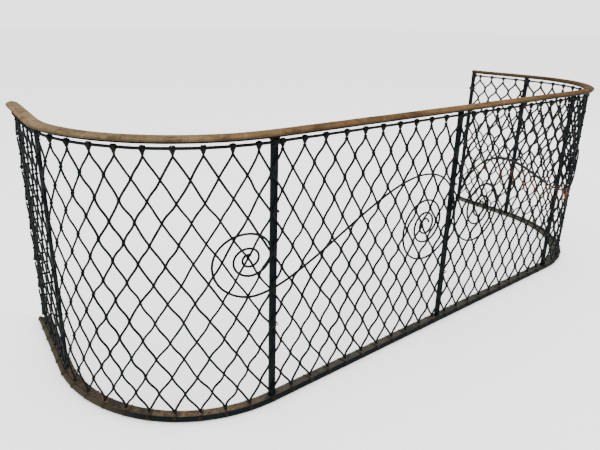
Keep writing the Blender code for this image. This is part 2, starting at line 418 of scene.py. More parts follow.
@dataclass(frozen=True)
class WornPaint:
    """Near-black green paint on flat iron bars, rubbed grey and freckled brown, dusty at the left rear."""

    paint: Place = (0.0006, 0.0023, 0.0028)
    rubbed: Place = (0.0085, 0.0115, 0.0115)
    rust: Place = (0.0240, 0.0135, 0.0070)
    dust: Place = (0.0220, 0.0200, 0.0125)
    upright: Place = (1.0, 1.0, 0.35)
    rubs: Patches = Patches(95.0, 6.0, 0.65, 0.58, 0.76, 0.55)
    freckles: Patches = Patches(420.0, 5.0, 0.6, 0.60, 0.72, 0.6)
    dusty: tuple[Fade, ...] = (Fade("X", -0.50, -0.58, 0.7), Fade("Y", 0.10, 0.16))
    roughness: Patches = Patches(70.0, 3.0, 0.55, -0.7, 1.6)
    reliefs: tuple[Relief, ...] = (Relief(160.0, 5.0, 0.6, 0.0004),)

    def material(self) -> Material:
        """Builds the finish."""
        graph = Graph("worn green-black paint", Specular_IOR_Level=0.05)
        colour = graph.patched(self.paint, self.rubbed, self.rubs, graph.stretched(self.upright))
        colour = graph.patched(colour, self.rust, self.freckles)
        colour = graph.faded(colour, self.dust, *self.dusty)
        return graph.finished(colour, self.roughness, self.reliefs)


@dataclass(frozen=True)
class BlackenedWire:
    """Thin iron wire with dark, faintly green paint, rusted orange in a slanting band at the right.

    The band is given by its upper line's height at the middle of the front and by how much that falls for
    each metre to the right. The rusting share is 0 for wire that never rusted.
    """

    paint: Place = (0.0008, 0.0020, 0.0023)
    worn: Place = (0.0070, 0.0074, 0.0068)
    rust: Place = (0.108, 0.040, 0.012)
    stray_rust: Place = (0.022, 0.010, 0.005)
    dust: Place = (0.0300, 0.0250, 0.0180)
    foot_brown: Place = (0.0300, 0.0240, 0.0150)
    rusting: float = 1.0
    band_height: float = 0.322
    band_slope: float = 0.34
    rightward: Fade = Fade("X", -0.05, 0.42)
    rust_spots: Patches = Patches(80.0, 4.0, 0.7, 0.47, 0.60)
    worn_spots: Patches = Patches(120.0, 5.0, 0.6, 0.52, 0.75, 0.7)
    stray_spots: Patches = Patches(17.0, 6.0, 0.75, 0.66, 0.76, 0.6)
    dusty: Fade = Fade("X", 0.50, 0.59, 0.6)
    foot: tuple[Fade, ...] = (Fade("Z", 0.013, 0.009, 0.85), Fade("X", -0.54, -0.60))
    roughness: Patches = Patches(200.0, 3.0, 0.55, -0.9, 1.5)
    reliefs: tuple[Relief, ...] = (Relief(900.0, 3.0, 0.6, 0.00015),)

    def rusty(self, graph: Graph) -> Socket:
        """How far the wire has rusted: in spots, within the band and more to the right."""
        slope = graph.math("MULTIPLY", graph.axis("X"), self.band_slope)
        above_band = graph.math("ADD", graph.math("ADD", graph.axis("Z"), slope), -self.band_height)
        mask = graph.ramp(above_band, 0.006, -0.004)
        lower_line = graph.ramp(above_band, -0.036, -0.014)
        for factor in (lower_line, graph.fade(self.rightward), graph.patches(self.rust_spots), self.rusting):
            mask = graph.math("MULTIPLY", mask, factor)
        return mask

    def material(self) -> Material:
        """Builds the finish."""
        graph = Graph("blackened wire", Specular_IOR_Level=0.06)
        colour = graph.patched(self.paint, self.worn, self.worn_spots)
        colour = graph.faded(colour, self.dust, self.dusty)
        colour = graph.faded(colour, self.foot_brown, *self.foot)
        colour = graph.mix(self.rusty(graph), colour, self.rust)
        colour = graph.patched(colour, self.stray_rust, self.stray_spots)
        return graph.finished(colour, self.roughness, self.reliefs)


@dataclass(frozen=True)
class WornIron:
    """A floor strip whose black paint has worn to brown rust at the left and to slate grey at the right."""

    brown: Place = (0.056, 0.031, 0.015)
    pale: Place = (0.125, 0.088, 0.050)
    slate: Place = (0.024, 0.025, 0.021)
    khaki: Place = (0.054, 0.048, 0.031)
    dark: Place = (0.0050, 0.0066, 0.0066)
    mottle: Patches = Patches(110.0, 7.0, 0.8, 0.43, 0.66)
    rightward: Fade = Fade("X", -0.54, -0.30, 0.86)
    rearward: tuple[Fade, ...] = (Fade("Y", -0.16, 0.0, 0.8), Fade("X", -0.20, 0.20))
    left_side: Fade = Fade("X", -0.50, -0.57, 0.55)
    paint_left: Patches = Patches(38.0, 6.0, 0.75, 0.48, 0.58, 0.65)
    pits: Patches = Patches(480.0, 5.0, 0.65, 0.58, 0.70, 0.6)
    roughness: Patches = Patches(90.0, 4.0, 0.55, -1.2, 1.1)
    reliefs: tuple[Relief, ...] = (Relief(420.0, 5.0, 0.65, 0.0005, 0.7), Relief(70.0, 3.0, 0.5, 0.0009))

    def material(self) -> Material:
        """Builds the finish."""
        graph = Graph("worn base iron", Specular_IOR_Level=0.12)
        colour = graph.patched(self.brown, self.pale, self.mottle)
        colour = graph.faded(colour, self.slate, self.rightward)
        colour = graph.faded(colour, self.khaki, *self.rearward)
        colour = graph.faded(colour, self.dark, self.left_side)
        colour = graph.patched(colour, self.dark, self.paint_left)
        colour = graph.patched(colour, self.dark, self.pits)
        return graph.finished(colour, self.roughness, self.reliefs)


NEVER_RUSTED = 0.0
FINE_BINDING = BlackenedWire((0.0042, 0.0052, 0.0042), (0.0280, 0.0230, 0.0150), rusting=NEVER_RUSTED)
BASE_BINDING = BlackenedWire((0.0120, 0.0085, 0.0055), (0.0420, 0.0230, 0.0120), rusting=NEVER_RUSTED)
SCROLL_WIRE = BlackenedWire((0.0005, 0.0014, 0.0016), (0.0030, 0.0034, 0.0032), rusting=NEVER_RUSTED)


@dataclass
class Finishes:
    """The materials: one each for the rail, the flat bars and the floor strip, and four dark wires."""

    brass: Material = field(default_factory=AgedBrass().material)
    paint: Material = field(default_factory=WornPaint().material)
    wire: Material = field(default_factory=BlackenedWire().material)
    binding: Material = field(default_factory=FINE_BINDING.material)
    base_binding: Material = field(default_factory=BASE_BINDING.material)
    scroll: Material = field(default_factory=SCROLL_WIRE.material)
    base: Material = field(default_factory=WornIron().material)


# ----------------------------------------
# Workshop: the ways in which pieces are made


def settle(piece: Piece, material: Material, stands_for: Sequence[str] = ()) -> None:
    """Dresses a finished piece and hands it to the frame.

    Args:
        piece: The piece, in place, with its object at the origin.
        material: Its finish.
        stands_for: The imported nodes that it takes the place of, if any.
    """
    piece.data.materials.clear()
    piece.data.materials.append(material)
    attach(piece, "root")
    if stands_for:
        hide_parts(*stands_for)
    LOG.info("%s: %d faces", piece.name, len(piece.data.polygons))


def release_all() -> None:
    """Leaves edit mode and deselects everything."""
    if bpy.context.object and bpy.context.object.mode != "OBJECT":
        bpy.ops.object.mode_set(mode="OBJECT")
    bpy.ops.object.select_all(action="DESELECT")


def take(piece: Piece) -> None:
    """Makes this piece the only selected and the active one."""
    release_all()
    piece.select_set(True)
    bpy.context.view_layer.objects.active = piece


def apply_modifiers(piece: Piece) -> None:
    """Applies every modifier of a piece, first to last."""
    take(piece)
    for modifier in list(piece.modifiers):
        bpy.ops.object.modifier_apply(modifier=modifier.name)


def roughen(piece: Piece, size: float, depth: float) -> None:
    """Gives a bar the slight unevenness of hand work.

    Args:
        piece: The bar.
        size: Length of its waves in metres.
        depth: How far they reach in metres.
    """
    pattern = bpy.data.textures.new(f"{piece.name} unevenness", "CLOUDS")
    pattern.noise_scale = size
    modifier = piece.modifiers.new("unevenness", "DISPLACE")
    modifier.texture = pattern
    modifier.texture_coords = "LOCAL"
    modifier.strength = depth
    modifier.mid_level = 0.5
    apply_modifiers(piece)


def smooth(piece: Piece, degrees: float) -> None:
    """Shades a piece smooth except across edges sharper than the angle."""
    take(piece)
    bpy.ops.object.shade_smooth_by_angle(angle=math.radians(degrees))


SIDE_STEPS = 8
CORNER_STEPS = 36
FRONT_STEPS = 26
ROD_STEPS = 240


def draw_out(steps: int, x: float, y: float) -> None:
    """Draws the selected end of a bar out by this much, in equal steps."""
    for _ in range(steps):
        bpy.ops.mesh.extrude_region_move(TRANSFORM_OT_translate={"value": (x / steps, y / steps, 0.0)})


def turn_corner(plan: Plan, x: float) -> None:
    """Spins the selected end of a bar a quarter turn about the corner's centre at this X."""
    centre = (x, plan.front_y + plan.radius, 0.0)
    bpy.ops.mesh.spin(steps=CORNER_STEPS, angle=-math.pi / 2, center=centre, axis=(0.0, 0.0, 1.0))


def bent_bar(name: str, profile: Sequence[tuple[float, float]], plan: Plan, overhang: float) -> Piece:
    """A bar bent along the whole line: a profile drawn out along each side and spun round each corner.

    Args:
        name: The piece's name.
        profile: The bar's section as (inset, height) points.
        plan: The line to follow.
        overhang: How far the bar runs past the rear posts.

    Returns:
        The bar, ends closed.
    """
    release_all()
    bpy.ops.mesh.primitive_circle_add(vertices=len(profile), radius=0.01, fill_type="NGON")
    bar = bpy.context.object
    bar.name = name
    for vertex, (inset, height) in zip(bar.data.vertices, profile):
        vertex.co = plan.point(-plan.line_end - overhang, inset, height)
    side = plan.side_run + overhang
    bpy.ops.object.mode_set(mode="EDIT")
    bpy.ops.mesh.select_all(action="SELECT")
    draw_out(SIDE_STEPS, 0.0, -side)
    turn_corner(plan, -plan.front_end)
    draw_out(FRONT_STEPS, 2 * plan.front_end, 0.0)
    turn_corner(plan, plan.front_end)
    draw_out(SIDE_STEPS, 0.0, side)
    bpy.ops.mesh.select_all(action="SELECT")
    bpy.ops.mesh.normals_make_consistent(inside=False)
    release_all()
    return bar


def bent_wire(
    name: str,
    runs: Sequence[Sequence[Vector]],
    radius: float,
    sides: int = 6,
    swell: Callable[[Vector], float] | None = None,
) -> Piece:
    """Round wire along each of the runs, as one piece.

    Args:
        name: The piece's name.
        runs: Each wire's points from end to end.
        radius: The wire's radius.
        sides: Faces around the wire: 4, 6 or 8.
        swell: Factor on the radius at a point, or None for even wire.

    Returns:
        The piece as a mesh.
    """
    release_all()
    curve = bpy.data.curves.new(name, "CURVE")
    curve.dimensions = "3D"
    curve.bevel_depth = radius
    curve.bevel_resolution = (sides - 4) // 2
    curve.use_fill_caps = True
    for run in runs:
        spline = curve.splines.new("POLY")
        spline.points.add(len(run) - 1)
        for point, place in zip(spline.points, run):
            point.co = (*place, 1.0)
            point.radius = swell(place) if swell else 1.0
    wire = bpy.data.objects.new(name, curve)
    bpy.context.scene.collection.objects.link(wire)
    take(wire)
    bpy.ops.object.convert(target="MESH")
    wire = bpy.context.object
    bpy.ops.object.shade_smooth()
    return wire


def long_rod(name: str, node: str, plan: Plan, inset: float, extra: float = 0, waver: float = 0) -> Piece:
    """A round rod along the whole line.

    Args:
        name: The piece's name.
        node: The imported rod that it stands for.
        plan: The line to follow.
        inset: Distance of its middle from the line.
        extra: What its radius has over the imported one.
        waver: How far it strays up and down.

    Returns:
        The rod as a mesh.
    """
    radius, height = rod_size(node)
    end = plan.line_end + plan.overhang(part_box(node)[1].y)
    run = []
    for k in range(ROD_STEPS + 1):
        along = -end + 2 * end * k / ROD_STEPS
        stray = noise.noise(Vector((along * 16.0, 0.0, 3.0))) * waver
        run.append(plan.point(along, inset, height + stray))
    return bent_wire(name, [run], radius + extra, 8)


# ----------------------------------------
# Rails


@dataclass
class TopRail:
    """The brass rail: flat underneath, low and round on top, with blunt rounded ends."""

    plan: Plan
    arch_points: int = 18
    edge: float = 0.0014

    def profile(self) -> list[tuple[float, float]]:
        """The rail's section: its flat side, then the arch, which starts an edge's height above it."""
        low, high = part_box("top_rail")
        half = self.plan.front_y - low.y
        rise = high.z - low.z - self.edge
        points = [(half * share, low.z) for share in (-0.94, -0.4, 0.4, 0.94)]
        for k in range(self.arch_points + 1):
            angle = math.pi * k / self.arch_points
            points.append((half * math.cos(angle), low.z + self.edge + rise * math.sin(angle)))
        return points

    def round_ends(self, rail: Piece, overhang: float, half: float) -> None:
        """Narrows both ends in a quarter circle by sliding their points in towards the middle line.

        Args:
            rail: The rail, still with square ends.
            overhang: How far it runs past the rear posts.
            half: Half its width.
        """
        tip = self.plan.point(self.plan.line_end + overhang, 0.0, 0.0)
        for vertex in rail.data.vertices:
            into = (vertex.co.y - (tip.y - half)) / half
            if into > 0:
                factor = math.sqrt(max(1 - into * into, 0.02))
                middle = math.copysign(tip.x, vertex.co.x)
                vertex.co.x = middle + (vertex.co.x - middle) * factor

    def build(self, finishes: Finishes) -> None:
        """Makes the rail."""
        low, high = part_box("top_rail")
        overhang = self.plan.overhang(high.y)
        half = self.plan.front_y - low.y
        rail = bent_bar("brass_rail", self.profile(), self.plan, overhang)
        take(rail)
        bpy.ops.object.mode_set(mode="EDIT")
        for share in (0.08, 0.22, 0.42, 0.66):
            bpy.ops.mesh.select_all(action="SELECT")
            bpy.ops.mesh.bisect(plane_co=(0.0, high.y - half * share, 0.0), plane_no=(0.0, 1.0, 0.0))
        release_all()
        self.round_ends(rail, overhang, half)
        roughen(rail, 0.05, 0.0006)
        smooth(rail, 50)
        settle(rail, finishes.brass, ["top_rail"])


@dataclass
class Hanger:
    """The iron strip under the brass rail and the thin rod that the mesh hangs on."""

    plan: Plan
    corner: float = 0.0004
    rod_paint: float = 0.0004

    def build(self, finishes: Finishes) -> None:
        """Makes the strip and the rod."""
        low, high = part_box("rail_backing_strip")
        half = self.plan.front_y - low.y
        profile = [
            (-half, low.z + self.corner),
            (-half + self.corner, low.z),
            (half - self.corner, low.z),
            (half, low.z + self.corner),
            (half, high.z),
            (-half, high.z),
        ]
        strip = bent_bar("backing_strip", profile, self.plan, self.plan.overhang(high.y))
        roughen(strip, 0.03, 0.0003)
        smooth(strip, 40)
        settle(strip, finishes.paint, ["rail_backing_strip"])
        rod = long_rod("hanging_rod", "suspension_rod", self.plan, 0.0, self.rod_paint, 0.0006)
        settle(rod, finishes.wire, ["suspension_rod"])


STRIP_WIDTH = 0.0134


def base_rod_inset(plan: Plan) -> float:
    """Distance of the base rod's middle from the line, negative outside it."""
    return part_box("base_rod")[0].y + rod_size("base_rod")[0] - plan.front_y


@dataclass
class Base:
    """The flat strip on the floor and the rod along its outer edge."""

    plan: Plan
    chamfer: float = 0.0009
    crown: float = 0.0001
    lower_edge: tuple[float, float] = (0.0004, 0.0005)

    def profile(self) -> list[tuple[float, float]]:
        """The strip's section, a hair higher in its middle than at its worn edges."""
        low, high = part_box("base_strip")
        outer = low.y - self.plan.front_y
        inner = outer + STRIP_WIDTH
        across, up = self.lower_edge
        return [
            (outer + across, low.z),
            (inner - across, low.z),
            (inner, low.z + up),
            (inner, high.z - self.chamfer),
            (inner - self.chamfer, high.z - self.crown),
            (outer + STRIP_WIDTH * 0.66, high.z),
            (outer + STRIP_WIDTH * 0.33, high.z),
            (outer + self.chamfer, high.z - self.crown),
            (outer, high.z - self.chamfer),
            (outer, low.z + up),
        ]

    def build(self, finishes: Finishes) -> None:
        """Makes the strip and the rod."""
        low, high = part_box("base_strip")
        strip = bent_bar("floor_strip", self.profile(), self.plan, self.plan.overhang(high.y))
        roughen(strip, 0.025, 0.0005)
        for vertex in strip.data.vertices:
            vertex.co.z = max(vertex.co.z, low.z)
        smooth(strip, 40)
        settle(strip, finishes.base, ["base_strip"])
        rod = long_rod("floor_rod", "base_rod", self.plan, base_rod_inset(self.plan))
        settle(rod, finishes.wire, ["base_rod"])


# ----------------------------------------
# Posts and their lashings

POST_PLACES = {
    "rear_left": -3,
    "side_left": -2,
    "front_left": -1,
    "front_middle": 0,
    "front_right": 1,
    "side_right": 2,
    "rear_right": 3,
}


def post_along(plan: Plan, rank: int) -> float:
    """Distance along the line to a post counted from the middle one."""
    distance = (0.0, plan.front_end, plan.corner_end, plan.line_end)[abs(rank)]
    return math.copysign(distance, rank)


@dataclass
class Posts:
    """The seven flat bars, forged a little unevenly."""

    plan: Plan
    rings: int = 30
    rubbed_edge: float = 0.0007

    def master(self) -> tuple[Piece, float, float]:
        """One bar standing at the origin.

        Returns:
            The bar, its inset and its middle height.
        """
        low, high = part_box("post_front_middle")
        release_all()
        bpy.ops.mesh.primitive_cube_add(size=1.0)
        bar = bpy.context.object
        bar.name = "post"
        bpy.ops.object.mode_set(mode="EDIT")
        tall = high.z - low.z
        step = tall / self.rings
        bpy.ops.transform.resize(value=(high.x - low.x, high.y - low.y, step))
        bpy.ops.transform.translate(value=(0.0, 0.0, step / 2 - tall / 2))
        bpy.ops.mesh.select_all(action="DESELECT")
        release_all()
        for face in bar.data.polygons:
            face.select = face.normal.z > 0.5
        for vertex in bar.data.vertices:
            vertex.select = vertex.co.z > step - tall / 2 - 1e-6
        bpy.ops.object.mode_set(mode="EDIT")
        bpy.ops.mesh.select_mode(type="FACE")
        for _ in range(self.rings - 1):
            bpy.ops.mesh.extrude_region_move(TRANSFORM_OT_translate={"value": (0.0, 0.0, step)})
        release_all()
        bevel = bar.modifiers.new("rubbed edges", "BEVEL")
        bevel.width = self.rubbed_edge
        bevel.segments = 2
        bevel.angle_limit = math.radians(40)
        bevel.limit_method = "ANGLE"
        apply_modifiers(bar)
        smooth(bar, 35)
        return bar, (low.y + high.y) / 2 - self.plan.front_y, (low.z + high.z) / 2

    def build(self, finishes: Finishes) -> None:
        """Makes the posts."""
        master, inset, middle = self.master()
        for name, rank in POST_PLACES.items():
            post = master.copy()
            post.data = master.data.copy()
            post.name = f"flat_post_{name}"
            bpy.context.scene.collection.objects.link(post)
            post.data.transform(self.plan.placing(post_along(self.plan, rank), inset, middle))
            roughen(post, 0.035, 0.0007)
            settle(post, finishes.paint, [f"post_{name}"])
        bpy.data.objects.remove(master)


@dataclass
class Lashings:
    """Turns of fine wire that hold the posts to the rod and to the mesh."""

    plan: Plan
    wire_radius: float = 0.0006
    turns: float = 2.1
    steps_per_turn: int = 20
    slant: float = math.radians(32)

    def coil(self, half_width: float, half_depth: float, rise: float) -> list[Vector]:
        """A run wound round a rounded rectangle about +Z.

        Args:
            half_width: Half the winding's width along X.
            half_depth: Half its depth along Y.
            rise: Height of the whole winding.

        Returns:
            The run's points.
        """
        points = []
        count = round(self.turns * self.steps_per_turn)
        for k in range(count + 1):
            angle = 2 * math.pi * self.turns * k / count
            x, y = math.cos(angle), math.sin(angle)
            squareness = 1 / max(abs(x) ** 4 + abs(y) ** 4, 0.25) ** 0.25
            height = rise * (k / count - 0.5)
            points.append(Vector((half_width * x * squareness, half_depth * y * squareness, height)))
        return points

    def windings(self, crossed: bool) -> list[list[Vector]]:
        """One lashing's runs at the origin: a cross where a post meets the rod, elsewhere one coil."""
        post_low, post_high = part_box("post_front_middle")
        low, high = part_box("lashing_front_middle_rod" if crossed else "lashing_front_middle_upper")
        half_width = (post_high.x - post_low.x) / 2 + self.wire_radius
        half_depth = (high.y - low.y) / 2 - self.wire_radius - 0.0001
        if not crossed:
            return [self.coil(half_width, half_depth, 0.0018)]
        coil = self.coil(half_width / math.cos(self.slant) + 0.001, half_depth, 0.0024)
        turned = Matrix.Rotation(math.radians(-90), 4, "Y")
        return [coil, [turned @ point for point in coil]]

    def build(self, finishes: Finishes) -> None:
        """Makes a lashing for each band of the frame."""
        for name, rank in POST_PLACES.items():
            along = post_along(self.plan, rank)
            middle = self.plan.point(along, 0.0, 0.0)
            for label in ("rod", "upper", "lower"):
                crossed = label == "rod"
                node = f"lashing_{name}_{label}"
                low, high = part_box(node)
                centre = (low + high) / 2
                inset = Vector((centre.x - middle.x, centre.y - middle.y)).length
                placing = self.plan.placing(along, inset, centre.z, self.slant if crossed else 0.0)
                runs = [[placing @ point for point in run] for run in self.windings(crossed)]
                piece = bent_wire(f"tie_{name}_{label}", runs, self.wire_radius, 4)
                settle(piece, finishes.binding, [node])


# ----------------------------------------
# Diamond mesh and its bindings

MESH_BAYS = [
    "mesh_side_left",
    "mesh_corner_left_rear",
    "mesh_corner_left_middle",
    "mesh_corner_left_front",
    "mesh_front_left",
    "mesh_front_right",
    "mesh_corner_right_front",
    "mesh_corner_right_middle",
    "mesh_corner_right_rear",
    "mesh_side_right",
]


@dataclass
class DiamondMesh:
    """Hand-laid wires: each runs down slantwise, passing outside or inside every wire that it meets."""

    plan: Plan
    levels: int = 13
    last_column: int = 51
    wire_radius: float = 0.00162
    pass_length: float = 0.0034
    neck: float = 0.0095
    foot: float = 0.009
    bow: float = 0.0014
    kink: float = 0.0012
    seed: int = 11
    top: float = 0.0
    step: float = 0.0
    crossings: dict[tuple[int, int], Vector] = field(default_factory=dict)

    def __post_init__(self) -> None:
        """Reads the heights from the frame and sets out the crossings, a little unevenly as by hand."""
        self.top = rod_size("suspension_rod")[1] - self.neck
        self.step = (self.top - rod_size("base_rod")[1] - self.foot) / self.levels
        noise.seed_set(self.seed)
        rng = random.Random(self.seed)
        for level in range(self.levels + 1):
            for column in range(-self.last_column, self.last_column + 1):
                if (column + level) % 2 == 0:
                    self.crossings[column, level] = self.crossing(column, level, rng)

    def drift(self, along: float, level: int) -> float:
        """How far the columns stand left of their regular places: most at the top of the front."""
        front = soft_step(along, -0.42, 0.03)
        ends = 1 - abs(along / self.plan.line_end) ** 2.5
        fall = 1 - 0.55 * level / self.levels
        return -self.plan.pitch * (0.14 + 0.13 * front) * ends * fall

    def crossing(self, column: int, level: int, rng: random.Random) -> Vector:
        """Where two wires cross, as (distance along, height).

        Args:
            column: Half-column number from the middle.
            level: Row of crossings from the top.
            rng: Source of the small unevenness.

        Returns:
            The place of the crossing.
        """
        along = column * self.plan.pitch / 2
        along += self.drift(along, level)
        height = self.top - level * self.step
        slow = noise.noise_vector(Vector((along * 7.0, height * 9.0, 1.7)))
        at_edge = abs(column) == self.last_column
        ease = 0.35 if level in (0, self.levels) else 1.0
        across = 0.0 if at_edge else (slow.x * 0.0034 + rng.gauss(0, 0.0007)) * ease
        down = (slow.y * 0.0040 + rng.gauss(0, 0.0008)) * ease
        return Vector((along + across, height + down))

    def steepness(self, place: Vector, heading: int) -> float:
        """How far a wire turns upright where it meets another: 0 keeps its slant, 1 is vertical.

        Args:
            place: The crossing.
            heading: 1 for a wire running down to the right, -1 to the left.

        Returns:
            The share.
        """
        depth = (self.top - place.y) / (self.step * self.levels)
        if heading > 0:
            left = soft_step(place.x, 0.11 * depth - 0.60, -0.012)
            right = soft_step(place.x, 0.26, 0.05)
            return 0.05 + 0.44 * left + 0.50 * right
        return 0.16 + 0.50 * soft_step(place.x, -0.27 - 0.23 * depth, 0.018)

    def course(self, place: Vector, heading: int) -> Vector:
        """The downward direction of a wire where it meets another."""
        turned = noise.noise(Vector((place.x * 47.0, place.y * 53.0, heading * 4.0))) * 0.22
        slant = self.plan.pitch / 2 * (1 - self.steepness(place, heading)) + self.step * turned
        return Vector((heading * slant, -self.step)).normalized()

    def strand(self, column: int, side: int) -> list[Vector]:
        """One wire from the suspension rod to the base.

        Args:
            column: The half-column that it starts from.
            side: 1 if it first runs to the right, -1 to the left.

        Returns:
            The wire's points.
        """
        stops = [(column, 0)]
        heading = side
        for level in range(1, self.levels + 1):
            column += heading
            stops.append((column, level))
            if abs(column) == self.last_column:
                heading = -heading
        points = []
        heading = side
        for number, stop in enumerate(stops):
            place = self.crossings[stop]
            points += self.twist(place, heading, number)
            if abs(stop[0]) == self.last_column and number < self.levels:
                points += self.round_post(stop, heading)
                heading = -heading
            if number < self.levels:
                points += self.span(place, self.crossings[stops[number + 1]])
        return points

    def twist(self, place: Vector, heading: int, number: int) -> list[Vector]:
        """The stretch in which a wire passes outside or inside another; the first one starts half-way.

        Args:
            place: The crossing.
            heading: 1 for a wire running to the right, -1 to the left.
            number: The crossing's number down the wire.

        Returns:
            Its points.
        """
        course = self.course(place, heading)
        points = []
        steps = 6
        for k in range(steps + 1):
            share = k / steps
            if number == 0 and share < 0.5:
                continue
            spot = place + course * (share - 0.5) * self.pass_length
            inset = -heading * self.wire_radius * 0.95 * math.sin(math.pi * share)
            points.append(self.plan.point(spot.x, inset, spot.y))
        return points

    def span(self, start: Vector, end: Vector) -> list[Vector]:
        """The wire between two crossings, slightly bowed and kinked, without the stretches at its ends.

        Args:
            start: The upper crossing.
            end: The lower crossing.

        Returns:
            Its points.
        """
        heading = 1 if end.x > start.x else -1
        leave, arrive = self.course(start, heading), self.course(end, heading)
        first = start + leave * self.pass_length / 2
        last = end - arrive * self.pass_length / 2
        pull = (last - first).length * 1.15
        loose = 0.35 + 0.9 * self.steepness(start, heading)
        bow = noise.noise_vector(Vector((start.x * 61.0, start.y * 83.0, heading * 9.0)))
        kink = noise.noise_vector(Vector((start.x * 97.0, start.y * 71.0, heading * 5.0 + 2.0)))
        points = []
        steps = 8
        for k in range(1, steps):
            t = k / steps
            spot = (
                first * (2 * t**3 - 3 * t**2 + 1)
                + leave * pull * (t**3 - 2 * t**2 + t)
                + last * (3 * t**2 - 2 * t**3)
                + arrive * pull * (t**3 - t**2)
                + bow.xy * self.bow * loose * math.sin(math.pi * t) ** 2
                + kink.xy * self.kink * loose * math.sin(2 * math.pi * t)
            )
            points.append(self.plan.point(spot.x, 0.0, spot.y))
        return points

    def round_post(self, stop: tuple[int, int], heading: int) -> list[Vector]:
        """The turn that an edge wire takes round a rear post.

        Args:
            stop: The crossing on the post's line.
            heading: 1 on the right-hand post, -1 on the left-hand one.

        Returns:
            Its points.
        """
        low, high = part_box("post_front_middle")
        half = (high.x - low.x) / 2 + self.wire_radius
        outer = low.y - self.plan.front_y - self.wire_radius * 0.9
        inner = high.y - self.plan.front_y + self.wire_radius
        loop = [
            (0.6, outer, 0.0),
            (1.0, outer * 1.5, 0.0),
            (1.0, inner * 0.8, -0.1),
            (0.7, inner, -0.15),
            (-0.7, inner, -0.3),
            (-1.0, inner * 0.8, -0.35),
            (-1.0, outer * 1.5, -0.45),
            (-0.7, outer, -0.5),
            (0.5, outer, -0.7),
            (1.0, outer * 1.5, -0.75),
            (1.0, inner * 0.8, -0.8),
            (0.6, inner, -0.9),
            (-0.6, inner, -1.0),
            (-1.0, inner * 0.7, -1.0),
        ]
        place = self.crossings[stop]
        middle = heading * self.plan.line_end
        points = []
        for x, inset, fall in loop:
            height = place.y + 0.002 + fall * 0.004
            points.append(self.plan.point(middle + heading * x * half, inset, height))
        return points

    @staticmethod
    def paint_build(place: Vector) -> float:
        """How thick the painted wire is: thinner on the left side, thickest above the rust on the right."""
        left = soft_step(place.x, -0.59, -0.008)
        right = soft_step(place.x, 0.44, 0.03)
        above = soft_step(place.z, 0.320 - 0.34 * place.x, 0.03)
        front = soft_step(place.x, -0.33, 0.02)
        return 1.0 - 0.18 * left + 0.07 * front + 0.38 * right * above

    def build(self, finishes: Finishes) -> None:
        """Makes the wires in two sets, by the side to which they set off."""
        columns = range(-self.last_column + 1, self.last_column, 2)
        for side, name in ((1, "mesh_wires_to_the_right"), (-1, "mesh_wires_to_the_left")):
            runs = [self.strand(column, side) for column in columns]
            piece = bent_wire(name, runs, self.wire_radius, 6, self.paint_build)
            settle(piece, finishes.wire, MESH_BAYS)


